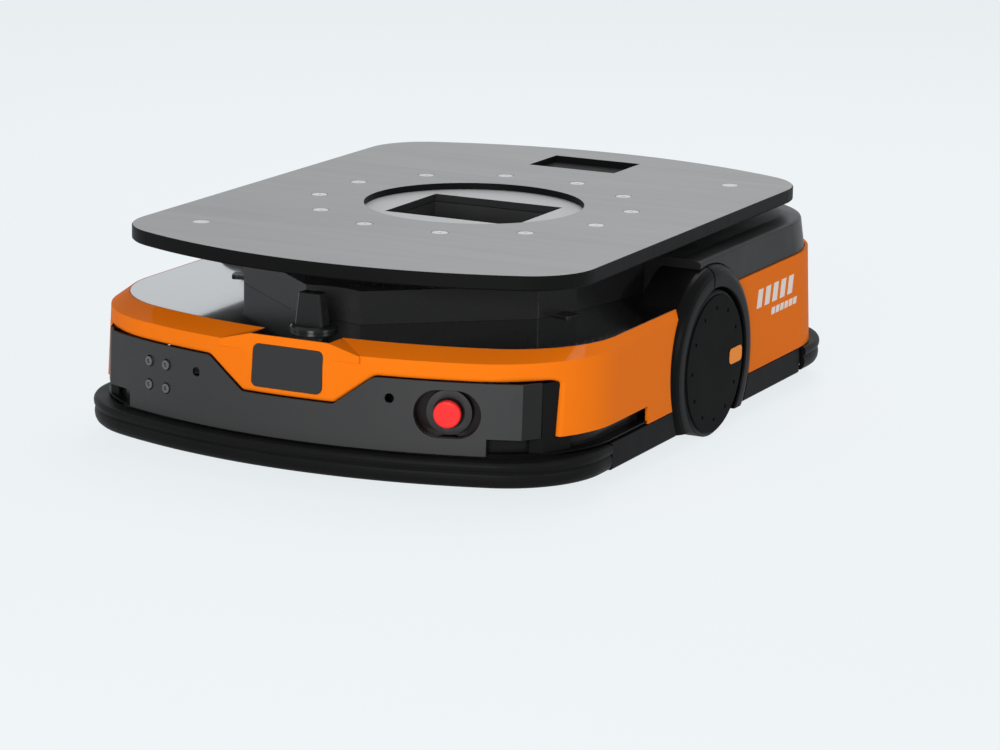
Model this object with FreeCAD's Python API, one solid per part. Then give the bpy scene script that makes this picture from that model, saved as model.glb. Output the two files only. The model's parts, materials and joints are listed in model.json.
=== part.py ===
import FreeCAD, Part
import math
import os

from FreeCAD import Vector

# Under-ride lifting robot, millimetres.  +Z is up, the front faces -Y, and the
# origin is on the floor under the middle of the robot.

# ---- driving dimensions ----
overall_width = 650.0
overall_length = 950.0
overall_height = 250.0

body_half_width = 320.0      # side walls of the body
body_half_length = 461.0     # middle of the bowed ends at the lower edge
body_bow_radius = 645.0      # plan radius of the bowed ends
body_corner_radius = 150.0
end_lean = 3.0               # the bowed ends lean in by this much at the crease
side_lean = 3.5              # and the side walls by this much

skirt_bottom = 20.0
body_bottom = 53.0           # lower edge of the painted shells
slot_top = 74.0              # upper edge of the scanner slot at the front corners
brow_bottom = 138.0
visor_bottom = 103.0
crease_height = 159.0        # crease between the walls and the sloping rim
visor_foot = 58.0            # half widths of the visor: lower edge, shoulders, crease and roof
visor_shoulder = 105.0
visor_crest = 90.0
visor_flat = 67.0            # half width at which the flat face runs out into the bow
visor_roof = 50.0
visor_lean = 0.13            # the visor face leans back by this share of its height
brow_round = 6.0             # rounding of the lower edge of the brow
lip_depth = 12.0             # thickness of the brow
window_z = 135.0
deck_height = 169.0
housing_top = 208.0          # faceted housing round the front of the lifting gear
rear_band_top = 173.0
cover_shoulder = 211.0       # the rear cover rounds over from here
cover_top = 217.0

wall = 4.0
joint_gap = 1.0              # gap between neighbouring mouldings

plate_half_width = 295.0
plate_half_length = 414.0
plate_bow_radius = 604.0
plate_corner_radius = 86.0
plate_thickness = 17.0
plate_upper_layer = 8.0

wheel_radius = 88.0
wheel_face = 324.0           # outer face of the drive wheel
wheel_width = 40.0
arch_gap_radius = 92.0
arch_radius = 119.0
arch_seam = -10.0            # the two halves of each wheel arch meet here

caster_radius = 37.5
caster_width = 30.0
caster_x = 195.0
caster_y = 315.0
caster_trail = 28.0

base_bottom = 28.0
base_top = 36.0

bumper_bottom = 22.0
bumper_top = 52.0
bumper_half_width = overall_width / 2
bumper_half_length = overall_length / 2
bumper_bow_radius = 680.0
bumper_corner_radius = 130.0
bumper_end = 288.0           # where the bumper stops along each side
pin_x = 150.0                # guide pins of the bumpers
pin_radius = 5.0
pin_height = 44.0

skirt_end = 279.0            # the skirts stop short of the bumpers
slot_side_end = 182.0        # where the scanner slot stops along each side
panel_step = 230.0           # half width of the lowest part of the end panels
panel_flat_end = 266.0
panel_tip = 280.0            # the chamfered ends of the panels stop here
panel_end = 285.0            # half width of the openings in the painted shells

screw_circle_radius = 193.5
screw_count = 12
plate_hole_radius = 134.0
view_half_x = 87.0           # rectangular opening in the middle of the turntable
view_half_y = 67.0

gear_module = 4.0
gear_teeth = 102
pinion_teeth = 18

column_x = 150.0
column_y = 112.0
column_radius = 12.0
running_gap = 0.05           # radial clearance of shafts and pins


# ---- helpers ----
def box(x0, x1, y0, y1, z0, z1):
    """Axis-aligned block between two corners."""
    return Part.makeBox(x1 - x0, y1 - y0, z1 - z0, Vector(x0, y0, z0))


def round_bar(start, direction, radius, length):
    """Cylinder from a start point along a direction."""
    return Part.makeCylinder(radius, length, Vector(*start), Vector(*direction))


def tube(start, direction, outer, inner, length):
    """Straight tube from a start point along a direction."""
    return round_bar(start, direction, outer, length).cut(round_bar(start, direction, inner, length))


def both_sides(shape):
    """The shape and its mirror image across the middle plane."""
    return shape.fuse(mirror_x(shape))


def mirror_x(shape):
    """Mirror image on the other side of the robot."""
    return shape.mirror(Vector(0, 0, 0), Vector(1, 0, 0))


def mirror_y(shape):
    """Mirror image at the other end of the robot."""
    return shape.mirror(Vector(0, 0, 0), Vector(0, 1, 0))


def polygon_prism(points, direction):
    """Closed polygon of 3-D points extruded along a vector."""
    corners = [Vector(*point) for point in points]
    outline = Part.makePolygon(corners + corners[:1])
    return Part.Face(outline).extrude(Vector(*direction))


def rounded_block(x0, x1, z0, z1, radius, y0, y1):
    """Block along Y whose four edges along Y are rounded."""
    block = box(x0, x1, y0, y1, z0, z1)
    edges = [edge for edge in block.Edges if edge.BoundBox.YLength > (y1 - y0) / 2]
    return block.makeFillet(radius, edges)


class Outline:
    """Plan outline with straight sides, round corners and bowed ends."""

    def __init__(self, half_width, half_length, bow_radius, corner_radius):
        self.half_width = half_width
        self.half_length = half_length
        self.bow_radius = bow_radius
        self.corner_radius = corner_radius
        self.bow_centre = half_length - bow_radius
        self.corner_x = half_width - corner_radius
        reach = math.sqrt((bow_radius - corner_radius) ** 2 - self.corner_x ** 2)
        self.corner_y = self.bow_centre + reach
        self.turn = math.atan2(reach, self.corner_x)

    def inset(self, distance):
        return Outline(self.half_width - distance, self.half_length - distance,
                       self.bow_radius - distance, self.corner_radius - distance)

    def end_y(self, x):
        """Distance of the bowed end from the middle at a given x."""
        return self.bow_centre + math.sqrt(self.bow_radius ** 2 - x ** 2)

    def corner_point(self, angle):
        return (self.corner_x + self.corner_radius * math.cos(angle),
                self.corner_y + self.corner_radius * math.sin(angle))

    def wire(self, z):
        """The closed outline at height z, as lines and tangent arcs."""
        side = self.corner_point(0)
        middle = self.corner_point(self.turn / 2)
        shoulder = self.corner_point(self.turn)
        quarter = [side, middle, shoulder, (0.0, self.half_length)]

        def place(point, sign_x, sign_y):
            return Vector(sign_x * point[0], sign_y * point[1], z)

        edges = []
        for sign_y in (1, -1):
            for sign_x in (1, -1):
                corner = [place(point, sign_x, sign_y) for point in quarter[:3]]
                edges.append(Part.Arc(*corner).toShape())
            ends = [place(quarter[2], 1, sign_y), place(quarter[3], 1, sign_y), place(quarter[2], -1, sign_y)]
            edges.append(Part.Arc(*ends).toShape())
        for sign_x in (1, -1):
            edges.append(Part.LineSegment(place(side, sign_x, 1), place(side, sign_x, -1)).toShape())
        return Part.Wire(Part.__sortEdges__(edges))

    def solid(self, z0, z1):
        return Part.Face(self.wire(z0)).extrude(Vector(0, 0, z1 - z0))

    def rim(self, profile, end_y):
        """Sweep a closed profile of (outward offset, z) pairs round the front end.

        The sweep runs from end_y on one side, round both corners, to the other side.
        """
        def section(origin, direction):
            points = [Vector(origin[0] + direction[0] * offset, origin[1] + direction[1] * offset, z)
                      for offset, z in profile]
            return Part.Face(Part.makePolygon(points + points[:1]))

        up = Vector(0, 0, 1)
        side = section((self.half_width, -self.corner_y), (1, 0))
        straight = side.extrude(Vector(0, self.corner_y - end_y, 0))
        corner = side.copy().revolve(Vector(self.corner_x, -self.corner_y, 0), up, -math.degrees(self.turn))
        shoulder = self.corner_point(self.turn)
        bow_start = section((shoulder[0], -shoulder[1]), (math.cos(self.turn), -math.sin(self.turn)))
        bow_turn = math.degrees(math.pi / 2 - self.turn)
        bow = bow_start.revolve(Vector(0, -self.bow_centre, 0), up, -2 * bow_turn)
        pieces = [straight, corner, mirror_x(straight), mirror_x(corner)]
        return bow.multiFuse(pieces).removeSplitter()


def tapered(lower, z0, upper, z1):
    """Solid between two outlines at different heights."""
    return Part.makeLoft([lower.wire(z0), upper.wire(z1)], True, True)


def save(name, shape):
    shape.exportStep("parts/" + name + ".step")
    print(name, len(shape.Solids), "solid(s)", round(shape.Volume / 1000.0, 1), "cm3")


# ---- shared outlines ----
foot_outline = Outline(body_half_width, body_half_length, body_bow_radius, body_corner_radius)
deck_outline = Outline(309.5, 422, 650, 142)
bumper_outline = Outline(bumper_half_width, bumper_half_length, bumper_bow_radius, bumper_corner_radius)
wheel_axis_bar = round_bar((-400, 0, wheel_radius), (1, 0, 0), arch_radius + joint_gap / 2, 800)
wheel_wells = wheel_axis_bar.cut(box(-262, 262, -200, 200, -100, 300))


# ---- chassis ----
def base_plate():
    outline = Outline(296, 434, 620, 112)
    plate = outline.solid(base_bottom, base_top)
    # an upstand closes the gap behind the bumpers
    plate = plate.fuse(outline.solid(base_top, 50).cut(outline.inset(3).solid(base_top, 50)))
    for sign_x in (1, -1):
        notch = box(250, 330, -111, 111, 0, 60)
        plate = plate.cut(notch if sign_x > 0 else mirror_x(notch))
        for sign_y in (1, -1):
            plate = plate.cut(round_bar((sign_x * caster_x, sign_y * caster_y, 0), (0, 0, 1), 74, 48))
    for x in (pin_x, -pin_x):
        gap = box(x - 17, x + 17, -426, -402, base_top, 60)
        plate = plate.cut(gap).cut(mirror_y(gap))
    return plate.cut(wheel_wells)


def drive_unit():
    """Gearbox, motor and mounting bracket of the right-hand wheel."""
    axis = (1, 0, 0)
    gearbox = round_bar((196, 0, wheel_radius), axis, 44, 58)
    motor = round_bar((100, 0, wheel_radius), axis, 37, 96)
    motor = motor.makeChamfer(3, [motor.Edges[0], motor.Edges[2]])
    flange = box(240, 248, -62, 62, base_top, 150)
    flange = flange.makeFillet(16, [edge for edge in flange.Edges
                                    if edge.BoundBox.XLength > 7 and edge.BoundBox.ZMin > 100])
    foot = box(196, 240, -62, 62, base_top, base_top + 11)
    unit = gearbox.multiFuse([motor, flange, foot])
    bore = round_bar((226, 0, wheel_radius), axis, 15 + running_gap, 60)
    return unit.cut(bore)


def caster_tower(sign_x, sign_y):
    """Corner housing that carries one swivel bearing above its opening."""
    top = box(-88, 34, -88, 34, 98, 106)
    inner_wall = box(-88, -80, -88, 34, base_top, 98)
    end_wall = box(-80, 34, -88, -80, base_top, 98)
    tower = top.multiFuse([inner_wall, end_wall])
    boss = round_bar((0, 0, 92), (0, 0, 1), 20, 6)
    tower = tower.fuse(boss)
    tower = tower.cut(round_bar((0, 0, 80), (0, 0, 1), 9 + running_gap, 40))
    if sign_x < 0:
        tower = mirror_x(tower)
    if sign_y < 0:
        tower = mirror_y(tower)
    tower.translate(Vector(sign_x * caster_x, sign_y * caster_y, 0))
    return tower


def caster_towers():
    towers = [caster_tower(sign_x, sign_y) for sign_x in (1, -1) for sign_y in (1, -1)]
    return Part.makeCompound(towers)


def jack_housings():
    """Four screw-jack housings that guide the lifting columns."""
    housings = []
    for x in (column_x, -column_x):
        for y in (column_y, -column_y):
            body = round_bar((x, y, base_top), (0, 0, 1), 24, 114)
            foot = round_bar((x, y, base_top), (0, 0, 1), 32, 8)
            head = round_bar((x, y, 138), (0, 0, 1), 28, 12)
            bore = round_bar((x, y, base_top + 6), (0, 0, 1), column_radius + running_gap, 130)
            housings.append(body.multiFuse([foot, head]).cut(bore))
    return Part.makeCompound(housings)


def camera_well():
    """Rectangular shaft between the up-looking camera and the turntable."""
    outer = box(-84, 84, -64, 64, base_top, 200)
    return outer.cut(box(-81, 81, -61, 61, base_top, 200))


def upward_camera():
    body = box(-34, 34, -30, 30, base_top, 62)
    body = body.makeFillet(6, [edge for edge in body.Edges if edge.BoundBox.ZLength > 20])
    barrel = round_bar((0, 0, 62), (0, 0, 1), 19, 12)
    mouth = round_bar((0, 0, 70), (0, 0, 1), 15, 6)
    return body.fuse(barrel).cut(mouth)


def battery_pack():
    """Rear battery case with a grip recess and stacking ribs."""
    case = box(-100, 100, 165, 395, base_top, 112)
    case = case.makeFillet(8, [edge for edge in case.Edges if edge.BoundBox.ZLength > 70])
    grip = box(-45, 45, 385, 400, 86, 104)
    for x in (-70, -35, 0, 35, 70):
        case = case.cut(box(x - 4, x + 4, 180, 370, 110, 113))
    return case.cut(grip)


def control_box():
    """Front electronics box with a finned lid."""
    case = box(-100, 100, -396, -185, base_top, 120)
    case = case.makeFillet(6, [edge for edge in case.Edges if edge.BoundBox.ZLength > 80])
    fins = [box(x - 2, x + 2, -380, -200, 120, 132) for x in range(-84, 85, 24)]
    return case.multiFuse(fins)


# ---- painted shells, deck and covers ----
def leaning_outline(z):
    """Plan outline of the painted shells at height z."""
    share = (z - body_bottom) / (crease_height - body_bottom)
    return Outline(body_half_width - side_lean * share, body_half_length - end_lean * share, body_bow_radius,
                   body_corner_radius + 5 * share)


def leaning_body(inset, z0, z1):
    """The body inside its painted skin, between two heights."""
    return tapered(leaning_outline(z0).inset(inset), z0, leaning_outline(z1).inset(inset), z1)


def brow_zone():
    """Everything above the lower edge of the brow and of the visor in its middle."""
    line = [(-400, brow_bottom), (-visor_shoulder, brow_bottom), (-visor_foot, visor_bottom),
            (visor_foot, visor_bottom), (visor_shoulder, brow_bottom), (400, brow_bottom), (400, 190), (-400, 190)]
    zone = polygon_prism([(x, -500, z) for x, z in line], (0, 200, 0))
    inner_bends = [edge for edge in zone.Edges if edge.BoundBox.YLength > 100
                   and abs(abs(edge.BoundBox.XMin) - visor_shoulder) < 1]
    zone = zone.makeFillet(16, inner_bends)
    outer_bends = [edge for edge in zone.Edges if edge.BoundBox.YLength > 100
                   and abs(edge.BoundBox.XMin) < visor_foot + 1 and edge.BoundBox.ZMax < visor_bottom + 1]
    return zone.makeFillet(8, outer_bends)


def visor_face_y(z):
    """The flat face of the visor cuts the bowed front and leans back."""
    return -leaning_outline(crease_height).end_y(visor_flat) - visor_lean * (crease_height - z)


def before_visor():
    """Space in front of the flat face of the visor."""
    low = 80
    high = 190
    return polygon_prism([(-140, -540, low), (-140, visor_face_y(low), low),
                          (-140, visor_face_y(high), high), (-140, -540, high)], (280, 0, 0))


def visor_roof_block():
    """Flat roof in the middle of the sloping rim, with sloping ends."""
    roof_z = deck_height + 0.2
    low_z = crease_height - 8
    outline = [(-visor_roof, roof_z), (visor_roof, roof_z), (visor_crest, crease_height), (visor_crest, low_z),
               (-visor_crest, low_z), (-visor_crest, crease_height)]
    return polygon_prism([(x, -480, z) for x, z in outline], (0, 54, 0)).cut(before_visor())


def panel_opening():
    """Opening of the painted shells for the end panels, without the brow."""
    return rounded_block(-panel_end, panel_end, -50, brow_bottom, 6, -500, -300)


def rounded_front():
    """The front of the body with the panel opening and the rounded edge of the brow."""
    body = leaning_body(0, body_bottom, crease_height).cut(panel_opening().cut(brow_zone()))
    inside = leaning_body(2, body_bottom, crease_height)
    brow_edges = []
    for edge in body.Edges:
        middle = edge.valueAt((edge.FirstParameter + edge.LastParameter) / 2)
        box_of_edge = edge.BoundBox
        in_height = box_of_edge.ZMin > visor_bottom - 1 and box_of_edge.ZMax < brow_bottom + 1
        if in_height and middle.y < -370 and edge.Length > 0.5 and not inside.isInside(middle, 0.1, True):
            brow_edges.append(edge)
    return body.makeFillet(brow_round, brow_edges)


def front_body_shell():
    crease = leaning_outline(crease_height)
    outside = rounded_front().fuse(tapered(crease, crease_height, deck_outline, deck_height))
    outside = outside.fuse(visor_roof_block()).cut(before_visor())
    # behind the brow the wall is thicker than elsewhere
    thick = rounded_block(-panel_end - 10, panel_end + 10, -50, crease_height - 6.5, 6, -500, -300)
    cavity = leaning_body(wall, body_bottom - 1, crease_height - 5).cut(thick)
    cavity = cavity.fuse(leaning_body(lip_depth, body_bottom - 2, crease_height - 6))
    ledge = deck_outline.inset(13).solid(crease_height - 8, deck_height)
    seat = deck_outline.inset(1.2).solid(deck_height - 3, deck_height + 1).fuse(deck_tongue(0.3, deck_height + 1))
    slot = box(-400, 400, -500, -slot_side_end, 0, slot_top)
    back = box(-400, 400, -84, 600, 0, 300)
    shell = outside
    for space in (cavity, ledge, seat, slot, back, wheel_wells, window_block(45, 24.5, 3)):
        shell = shell.cut(space)
    return shell


def window_block(half_x, half_z, depth):
    """Rounded slab square to the visor, from its face to a depth behind it."""
    slab = rounded_block(-half_x, half_x, -half_z, half_z, 7.5, -0.01, depth)
    slab.rotate(Vector(0, 0, 0), Vector(1, 0, 0), -math.degrees(math.atan(visor_lean)))
    slab.translate(Vector(0, visor_face_y(window_z), window_z))
    return slab


def camera_window():
    return window_block(44.7, 24.2, 2.9)


def rear_body_shell():
    shell = leaning_body(0, body_bottom, rear_band_top).cut(leaning_body(wall, body_bottom - 1, rear_band_top + 1))
    front = box(-400, 400, -600, 84, 0, 300)
    return shell.cut(front.multiFuse([wheel_wells, mirror_y(panel_opening())]))


def end_panel():
    """Lower end panel with chamfered ends, before its openings are cut."""
    def plan(outline, z):
        outer_y = -outline.end_y(panel_flat_end)
        inner = outline.inset(wall)
        inner_flat = panel_flat_end - 2
        inner_y = -inner.end_y(inner_flat)
        outer = [Vector(-panel_flat_end, outer_y, z), Vector(0, -outline.half_length, z),
                 Vector(panel_flat_end, outer_y, z)]
        back = [Vector(inner_flat, inner_y, z), Vector(0, -inner.half_length, z),
                Vector(-inner_flat, inner_y, z)]
        tip_y = outer_y + 20
        outer_tip = Vector(panel_tip, tip_y, z)
        inner_tip = Vector(panel_tip - wall, tip_y + 1, z)
        left_inner = Vector(-panel_tip + wall, tip_y + 1, z)
        left_outer = Vector(-panel_tip, tip_y, z)
        edges = [Part.Arc(*outer).toShape(),
                 Part.LineSegment(outer[2], outer_tip).toShape(),
                 Part.LineSegment(outer_tip, inner_tip).toShape(),
                 Part.LineSegment(inner_tip, back[0]).toShape(),
                 Part.Arc(*back).toShape(),
                 Part.LineSegment(back[2], left_inner).toShape(),
                 Part.LineSegment(left_inner, left_outer).toShape(),
                 Part.LineSegment(left_outer, outer[0]).toShape()]
        return Part.Wire(edges)

    lower = foot_outline
    upper = Outline(body_half_width, body_half_length - panel_lean, body_bow_radius, body_corner_radius)
    top = brow_bottom - joint_gap
    panel = Part.makeLoft([plan(lower, body_bottom + 2), plan(upper, top)], True, True)
    keep = rounded_block(-panel_tip, panel_tip, 0, top, 5, -500, -300)
    return panel.common(keep)


# The emergency stop and the contacts stand square to the bowed panel.
estop_x = 188.0
estop_z = 100.5
panel_lean = 3.0             # the end panels lean back by this much up to the brow
panel_mid_outline = foot_outline.inset(panel_lean * (estop_z - body_bottom) / (brow_bottom - body_bottom))
contact_x = -183.0
contact_z = 101.5
contact_pitch = 27.3


def square_to_panel(shape, x, z, depth=0.0):
    """Move a shape built on the -Y axis so that it stands square to the panel at x."""
    lean = math.asin(x / body_bow_radius)
    normal = Vector(math.sin(lean), -math.cos(lean), 0)
    moved = shape.copy()
    moved.rotate(Vector(0, 0, 0), Vector(0, 0, 1), math.degrees(lean))
    moved.translate(Vector(x, -panel_mid_outline.end_y(x), z) - normal * depth)
    return moved


def racetrack(half_x, half_z, y0, y1):
    """Oval block along Y, rounded to full radius at its ends."""
    return rounded_block(-half_x, half_x, -half_z, half_z, half_z - 0.01, y0, y1)


def front_panel():
    panel = end_panel()
    brow = brow_zone()
    brow.translate(Vector(0, 0, -joint_gap - 0.2))
    panel = panel.cut(brow)
    panel = panel.cut(both_sides(box(panel_step, 400, -500, -300, 0, slot_top + 0.5)))
    panel = panel.cut(square_to_panel(racetrack(38, 27, -12, 12), estop_x, estop_z))
    for x, z in contact_places():
        panel = panel.cut(square_to_panel(round_bar((0, -12, 0), (0, 1, 0), 6.6, 24), x, z))
    for x in (-124, 124):
        panel = panel.cut(square_to_panel(round_bar((0, -12, 0), (0, 1, 0), 5.5, 24), x, 114.5))
    return panel


def behind_panel():
    """Space behind the front panel, clear of it by a small gap."""
    lower = foot_outline.inset(wall + 0.3)
    upper = Outline(body_half_width, body_half_length - panel_lean, body_bow_radius,
                    body_corner_radius).inset(wall + 0.3)
    return tapered(lower, body_bottom + 2, upper, brow_bottom - joint_gap)


def contact_places():
    half = contact_pitch / 2
    return [(contact_x + dx, contact_z + dz) for dx in (-half, half) for dz in (-half, half)]


def charge_contacts():
    """Four round spring contacts, each with a dimpled face."""
    contacts = []
    for x, z in contact_places():
        stud = round_bar((0, -2, 0), (0, 1, 0), 5.4, 14)
        stud = stud.cut(round_bar((0, -2, 0), (0, 1, 0), 2.6, 1.5))
        flange = square_to_panel(round_bar((0, 0, 0), (0, 1, 0), 9, 8), x, z).common(behind_panel())
        contacts.append(square_to_panel(stud, x, z).fuse(flange))
    return Part.makeCompound(contacts)


def estop_collar():
    """Oval cup behind the panel with a raised ring round the stop button."""
    cup = racetrack(41.5, 30.5, -4, 23)
    cup = square_to_panel(cup, estop_x, estop_z).common(behind_panel())
    cup = cup.cut(square_to_panel(racetrack(37.5, 26.5, -6, 17), estop_x, estop_z))
    ring = round_bar((0, 11, 0), (0, 1, 0), 23, 6)
    ring = ring.makeChamfer(2, [edge for edge in ring.Edges if edge.BoundBox.YMax < 11.01])
    cup = cup.fuse(square_to_panel(ring, estop_x, estop_z))
    bore = round_bar((0, 0, 0), (0, 1, 0), 8 + running_gap, 40)
    return cup.cut(square_to_panel(bore, estop_x, estop_z))


def estop_button():
    """Mushroom button on a stem that slides in the collar."""
    cap = round_bar((0, -3, 0), (0, 1, 0), 15.5, 8)
    cap = cap.makeFillet(3, [edge for edge in cap.Edges if edge.BoundBox.YMax < -2.9])
    stem = round_bar((0, 5, 0), (0, 1, 0), 8, 22)
    return square_to_panel(cap.fuse(stem), estop_x, estop_z)


slot_inner_end = 214.0       # the slots run on behind the end panel up to here


def scanner_slot(depth_out, depth_in, z0, z1, start_x=slot_inner_end):
    """Strip that follows the body round the right front corner inside the slot."""
    band = foot_outline.inset(depth_out).solid(z0, z1)
    band = band.cut(foot_outline.inset(depth_in).solid(z0, z1))
    right = box(start_x, 400, -500, -slot_side_end - 1, z0, z1)
    return band.common(right)


def scanner_windows():
    return both_sides(scanner_slot(14, 17, body_bottom + 4, slot_top - 2))


def scanner_bezels():
    """Floor, ceiling, back and inner end of the two scanner slots."""
    behind = wall + 2.5
    floor = scanner_slot(behind, 20, body_bottom + 2, body_bottom + 4)
    sill = scanner_slot(1.5, 20, body_bottom + 2, body_bottom + 4, panel_step + 1)
    ceiling = scanner_slot(behind, 20, slot_top - 2, slot_top)
    back = scanner_slot(17, 20, body_bottom + 4, slot_top - 2)
    end = scanner_slot(behind, 14, body_bottom + 4, slot_top - 2)
    end = end.common(box(slot_inner_end, slot_inner_end + 2, -500, 0, 0, slot_top))
    return both_sides(floor.multiFuse([sill, ceiling, back, end]))


def deck_tongue(clearance, top):
    """Part of the deck that reaches forward over the roof of the visor."""
    front = visor_face_y(deck_height) + 2 - clearance
    half = visor_roof + clearance
    return box(-half, half, front, -deck_outline.half_length + 12, deck_height - 3, top)


def front_deck():
    deck = deck_outline.inset(1.5).solid(deck_height - 3, deck_height).fuse(deck_tongue(0, deck_height))
    deck = deck.cut(box(-400, 400, -26, 600, 0, 300))
    deck = deck.cut(box(-190, 190, -190, 600, 0, 300))
    return deck.cut(wheel_wells)


def sensor_tower():
    """Tapered post that stands on the deck behind the visor."""
    def ring(half_x, y0, y1, z):
        corners = [Vector(-half_x, y0, z), Vector(half_x, y0, z), Vector(half_x, y1, z), Vector(-half_x, y1, z)]
        return Part.makePolygon(corners + corners[:1])

    post = Part.makeLoft([ring(18.5, -410, -389, deck_height), ring(13.5, -409, -391.5, 212)], True, True)
    post = post.makeChamfer(1.8, [edge for edge in post.Edges if edge.BoundBox.ZLength > 20])
    boss = round_bar((0, -396, deck_height), (0, 0, 1), 27, 6)
    boss = boss.makeChamfer(2.5, [edge for edge in boss.Edges if edge.BoundBox.ZMin > deck_height + 5])
    return post.fuse(boss)


turntable_bay_radius = 214.0


def turntable_bay():
    """Opening in the covers for the slewing ring, its pinion and the lift frame."""
    circle = round_bar((0, 0, 100), (0, 0, 1), turntable_bay_radius, 200)
    return circle.fuse(box(-52, 52, 150, 294, 100, 300))


def faceted(side, z0, z1):
    """Prism between heights from the right half of its plan outline, front to back."""
    left = [(-x, y) for x, y in reversed(side)]
    return polygon_prism([(x, y, z0) for x, y in side + left], (0, 0, z1 - z0))


housing_plan = [(35, -352), (195, -219), (214, -157), (240, -27)]


def front_housing():
    """Faceted housing round the front half of the lifting gear."""
    outer = faceted(housing_plan, deck_height, housing_top)
    upright = [edge for edge in outer.Edges if edge.BoundBox.ZLength > 30 and -340 < edge.BoundBox.YMax < -50]
    outer = outer.makeFillet(5, upright)
    inner = faceted([(33.5, -348), (192, -217), (210, -156), (236, -20)], deck_height - 1, housing_top - wall)
    inner = inner.cut(box(-60, 60, -400, -338, 0, 300))
    # the nose is slightly hollow behind the sensor tower
    hollow = round_bar((0, -436, 100), (0, 0, 1), 91, 200)
    shell = outer.cut(inner.fuse(hollow).fuse(turntable_bay()))
    return shell.multiFuse([housing_foot(), mirror_x(housing_foot())])


def housing_foot():
    """Fixing foot at the base of the right-hand rear facet."""
    foot = box(-2, 22, -11, 11, 0, 2.5)
    foot = foot.makeFillet(5, [edge for edge in foot.Edges if edge.BoundBox.ZLength > 2 and edge.BoundBox.XMin > 20])
    foot.rotate(Vector(0, 0, 0), Vector(0, 0, 1), -math.degrees(math.atan2(19, 62)))
    foot.translate(Vector(206, -183, deck_height))
    return foot


def rear_top_cover():
    """Cover over the rear half, with leaning walls and a rounded, slightly sloping crown."""
    lower_z = rear_band_top - 6
    levels = [(Outline(314.5, 447, 641, 148), lower_z),
              (Outline(312.5, 436, 630, 148), cover_shoulder),
              (Outline(311.5, 435, 629, 147), cover_shoulder + 1.8),
              (Outline(308, 431.5, 625.5, 143.5), cover_shoulder + 3.2),
              (Outline(288, 410, 605, 126), cover_top)]

    def stack(inset, drop):
        """Solid through all levels, inset and lowered at the top."""
        layers = []
        for (lower, z0), (upper, z1) in zip(levels, levels[1:]):
            low = z0 - 1 if z0 == lower_z and inset else z0 - drop * (z0 > lower_z)
            layers.append(tapered(lower.inset(inset), low, upper.inset(inset), z1 - drop))
        return layers[0].multiFuse(layers[1:])

    outside = stack(0, 0)
    inside = stack(wall, wall - 1).common(box(-400, 400, -22, 600, 0, 300))
    cover = outside.common(box(-400, 400, -26, 600, 0, 300)).cut(inside)
    passage = box(-236, 236, -40, -10, 0, cover_shoulder - 6)
    cover = cover.cut(turntable_bay().fuse(passage))
    # the lower edge tucks inside the painted shell
    rim = outside.cut(leaning_outline(rear_band_top).inset(wall + 1).solid(100, rear_band_top + 0.5))
    rim = rim.common(box(-400, 400, -600, 600, 0, rear_band_top + 0.5))
    return cover.cut(rim.fuse(wheel_wells))


# ---- wheel arches and skirts ----
def wheel_arch():
    """Right-hand arch: rounded rim, tread guard and inner wall."""
    profile = [Vector(262, 0, 16.5), Vector(262, 0, arch_radius), Vector(311, 0, arch_radius),
               Vector(315.5, 0, arch_radius - 1.2), Vector(319.4, 0, arch_radius - 3.8),
               Vector(322.5, 0, arch_radius - 7.6), Vector(324.2, 0, arch_radius - 12.5),
               Vector(324.5, 0, arch_radius - 17), Vector(324.5, 0, arch_gap_radius + 1.5),
               Vector(323, 0, arch_gap_radius), Vector(266, 0, arch_gap_radius), Vector(266, 0, 16.5)]
    face = Part.Face(Part.makePolygon(profile + profile[:1]))
    ring = face.revolve(Vector(0, 0, 0), Vector(1, 0, 0), 360)
    ring.translate(Vector(0, 0, wheel_radius))
    return ring.cut(box(200, 400, -200, 200, -100, skirt_bottom))


def arch_half(front):
    arch = wheel_arch()
    seam = 1.5
    if front:
        half = arch.cut(box(200, 400, arch_seam - seam, 200, -100, 400))
    else:
        half = arch.cut(box(200, 400, -200, arch_seam + seam, -100, 400))
    return half


def side_skirt(front):
    """Right-hand skirt between the wheel arch and a bumper."""
    profile = [(300, skirt_bottom), (318, skirt_bottom), (320, skirt_bottom + 2), (320, body_bottom - 1),
               (316, body_bottom - 1), (316, skirt_bottom + 4), (300, skirt_bottom + 4)]
    start = -skirt_end if front else 60
    length = skirt_end - 60
    skirt = polygon_prism([(x, start, z) for x, z in profile], (0, length, 0))
    return skirt.cut(wheel_wells)


# ---- bumpers ----
def bumper_strip():
    """Two-ribbed moulding round the front end, open towards the body."""
    ribs = [(-20, bumper_top), (-4.5, bumper_top), (-1.9, 51.2), (-0.5, 49.2), (0, 46.5), (-0.4, 43.6),
            (-1.8, 41.4), (-3.4, 40.6), (-3.4, 39.4), (-2.2, 38.2), (-1.3, 35.6), (-1.1, 32), (-1.8, 28),
            (-3.6, 24.4), (-6.5, bumper_bottom)]
    inside = [(-13, bumper_bottom), (-13, 25.5), (-8, 25.5), (-8, 49), (-20, 49)]
    return bumper_outline.rim(ribs + inside, bumper_end)


def bumper_bar():
    """Steel carrier inside the bumper strip, with its two guide pins."""
    bar = bumper_outline.inset(8.2).solid(26, 48.6).cut(bumper_outline.inset(11).solid(26, 48.6))
    bar = bar.common(box(-215, 215, -500, -300, 0, 100))
    start_y = -bumper_outline.inset(10).end_y(pin_x)
    for x in (pin_x, -pin_x):
        pin = round_bar((x, start_y, pin_height), (0, 1, 0), pin_radius, -start_y - 400)
        bar = bar.fuse(pin)
    return bar


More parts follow.
